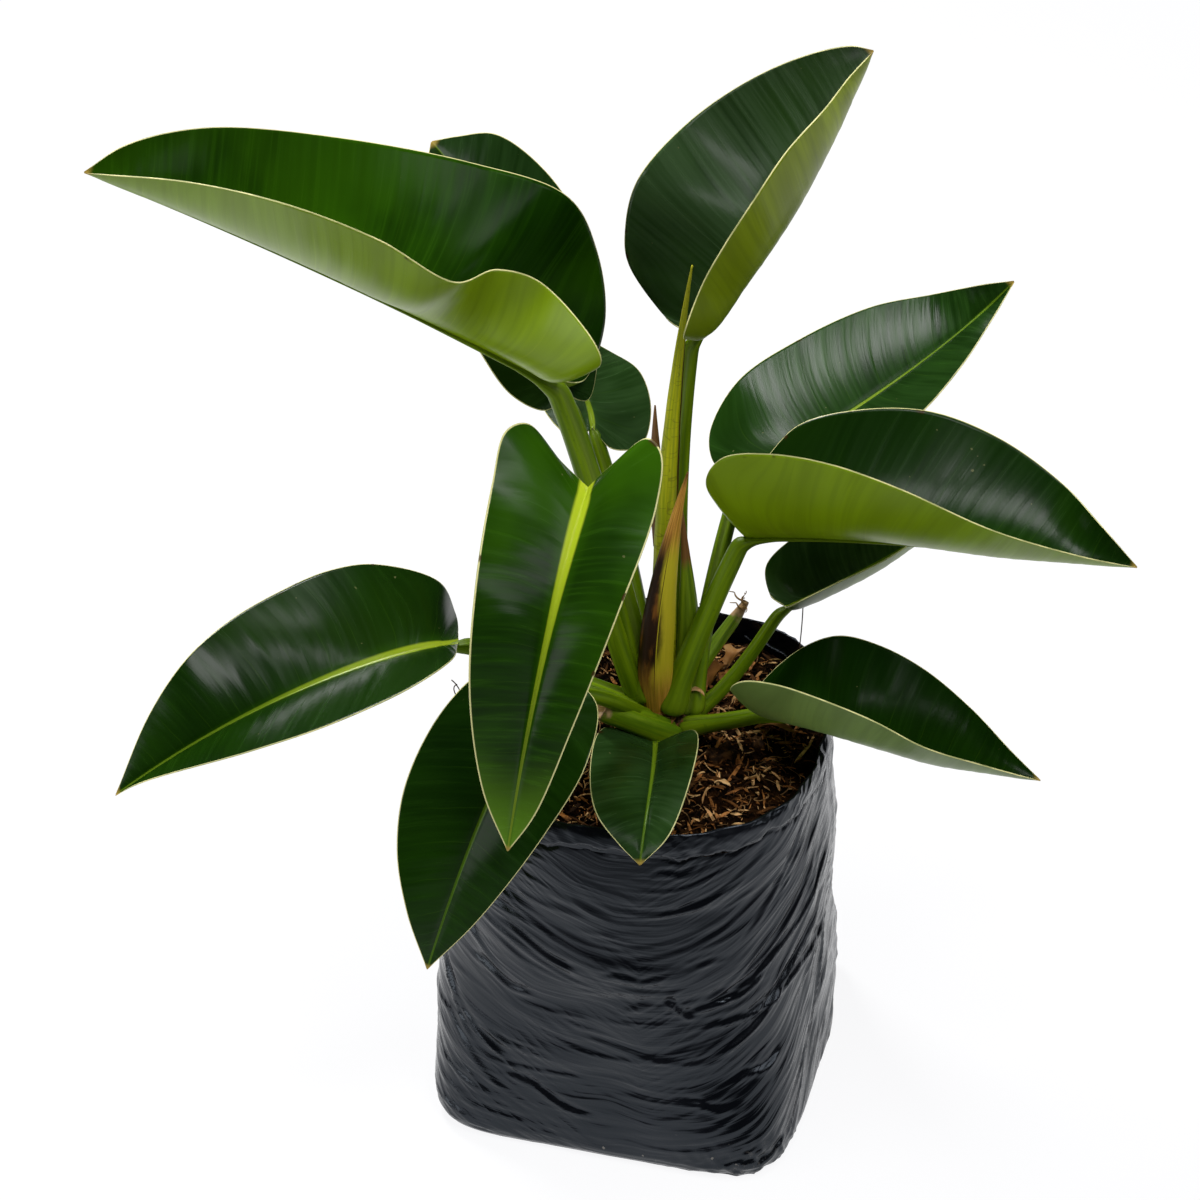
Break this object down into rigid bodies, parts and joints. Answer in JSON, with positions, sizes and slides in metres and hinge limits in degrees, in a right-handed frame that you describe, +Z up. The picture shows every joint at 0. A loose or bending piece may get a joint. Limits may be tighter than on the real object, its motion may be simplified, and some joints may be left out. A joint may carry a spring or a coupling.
{
  "type": "potted congo green philodendron",
  "caption": "Leafy philodendron with broad glossy leaves on stout stalks, a rolled new leaf and a papery sheath, growing in a soft black nursery bag of soil.",
  "frame": {"origin": "centre of the bag's flat foot, on the surface it stands on", "axes": "+Z up; the side seen in front faces -Y and +X is to its right"},
  "size_m": [0.4804, 0.2681, 0.5405],
  "materials": {
    "bag": "soft black polythene film with a satin shine, wrinkled",
    "soil": "dark crumbly potting mix with coconut chips and fibres",
    "stalk": "fleshy green leaf stalk, smooth with a soft shine",
    "young_leaf": "tightly rolled young leaf, yellow-green and smooth",
    "papery": "dry papery bud sheath, tan to dark brown",
    "blade": "thick glossy dark green leaf, yellow-green underneath, pale margin"
  },
  "bodies": {
    "root": {"grow_bag": "bag", "soil": "soil", "crown": "stalk", "papery_sheath": "papery", "petiole_right": "stalk", "petiole_upper_left": "stalk", "rolled_leaf": "young_leaf", "petiole_top": "stalk", "petiole_front": "stalk", "petiole_back": "stalk", "petiole_back_left": "stalk", "petiole_upper_right": "stalk", "short_sheath": "stalk", "brown_scale": "papery", "petiole_middle_right": "stalk", "petiole_lower_right": "stalk", "petiole_left": "stalk", "cut_stub": "stalk", "petiole_lower_left": "stalk", "petiole_front_small": "stalk", "old_stub": "stalk", "blade_upper_left": "blade", "blade_top": "blade", "blade_upper_right": "blade", "blade_right": "blade", "blade_middle_right": "blade", "blade_lower_right": "blade", "blade_front_small": "blade", "blade_front": "blade", "blade_left": "blade", "blade_lower_left": "blade", "blade_back_left": "blade", "blade_back": "blade"}
  },
  "joints": []
}
